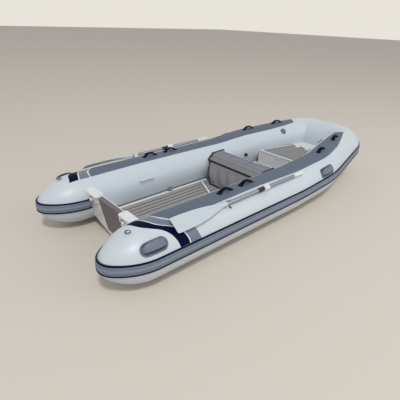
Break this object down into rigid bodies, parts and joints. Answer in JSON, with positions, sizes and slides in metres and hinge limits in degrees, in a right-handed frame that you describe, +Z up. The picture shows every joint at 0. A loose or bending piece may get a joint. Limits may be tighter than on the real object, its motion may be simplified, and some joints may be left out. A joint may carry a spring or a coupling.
{
  "type": "rigid inflatable boat",
  "caption": "Small open tender with air tubes round a V-bottomed rigid hull, a bench seat, a bow locker with a hinged lid, and stowed oars in swivelling rowlocks.",
  "frame": {"origin": "on the ground under the middle of the boat, at the centre of its length and breadth", "axes": "+X to the bow, +Y to port, +Z up"},
  "size_m": [3.8593, 1.5378, 0.5874],
  "materials": {
    "tube_fabric": "matte coated fabric, light grey",
    "strake_rubber": "matte blue-grey with navy piping",
    "patch_rubber": "matte textured grey",
    "hull_laminate": "white gelcoat",
    "keel_strip": "matte dark grey",
    "deck_laminate": "pale anti-slip gelcoat",
    "deck_foam": "brushed foam planks with white rim",
    "engine_pad": "taupe moulding",
    "white_moulding": "satin white moulding",
    "cushion_vinyl": "stitched vinyl, blue-grey",
    "bag_vinyl": "grey coated cloth with black piping",
    "steel": "polished stainless steel",
    "navy_plastic": "navy moulding",
    "black_plastic": "black moulding",
    "grip_plastic": "grey moulding",
    "oar_alloy": "dark anodised tube",
    "blade_plastic": "pale moulded plastic",
    "handle_rubber": "matte navy moulded rubber"
  },
  "bodies": {
    "boat": {"port_tube": "tube_fabric", "starboard_tube": "tube_fabric", "bow_tube": "tube_fabric", "rub_strake_port": "strake_rubber", "rub_strake_starboard": "strake_rubber", "wear_patch_port": "patch_rubber", "wear_patch_starboard": "patch_rubber", "carry_handles": "handle_rubber", "stern_grips": "grip_plastic", "bow_grips": "grip_plastic", "hull_bottom": "hull_laminate", "keel_guard": "keel_strip", "deck_floor": "deck_laminate", "floor_mat_aft": "deck_foam", "floor_mat_forward": "deck_foam", "transom": "hull_laminate", "transom_brackets": "white_moulding", "engine_pad": "engine_pad", "locker_box": "hull_laminate", "lid_hinge_knuckles": "white_moulding", "bow_platform": "white_moulding", "seat_board": "white_moulding", "seat_cushion": "cushion_vinyl", "underseat_bag": "bag_vinyl", "seat_strips": "tube_fabric", "lifting_eyes": "steel", "valves": "black_plastic", "stern_rings": "steel", "bow_towing_eye": "steel", "rowlocks": "navy_plastic", "oar_clips": "white_moulding"},
    "locker_lid": {"locker_lid": "white_moulding", "lid_mat": "deck_foam", "lid_hinge_leaves": "white_moulding", "locker_latch": "navy_plastic"},
    "port_oar": {"oar_shaft_port": "oar_alloy", "oar_grip_port": "white_moulding", "oar_blade_port": "blade_plastic", "oar_sleeve_port": "white_moulding", "oar_collar_port": "navy_plastic"},
    "starboard_oar": {"oar_shaft_starboard": "oar_alloy", "oar_grip_starboard": "white_moulding", "oar_blade_starboard": "blade_plastic", "oar_sleeve_starboard": "white_moulding", "oar_collar_starboard": "navy_plastic"}
  },
  "joints": [
    {"name": "locker_lid_hinge", "type": "hinge", "parent": "boat", "child": "locker_lid", "pos_m": [1.26585, 0, 0.31], "axis": [0, 1, 0], "range_deg": [0, 100]},
    {"name": "port_oar_swivel", "type": "hinge", "parent": "boat", "child": "port_oar", "pos_m": [-0.39284, 0.6798, 0.45726], "axis": [0, -0.5592, -0.829], "range_deg": [0, 100]},
    {"name": "starboard_oar_swivel", "type": "hinge", "parent": "boat", "child": "starboard_oar", "pos_m": [-0.39284, -0.6798, 0.45726], "axis": [0, -0.5592, 0.829], "range_deg": [0, 100]}
  ]
}
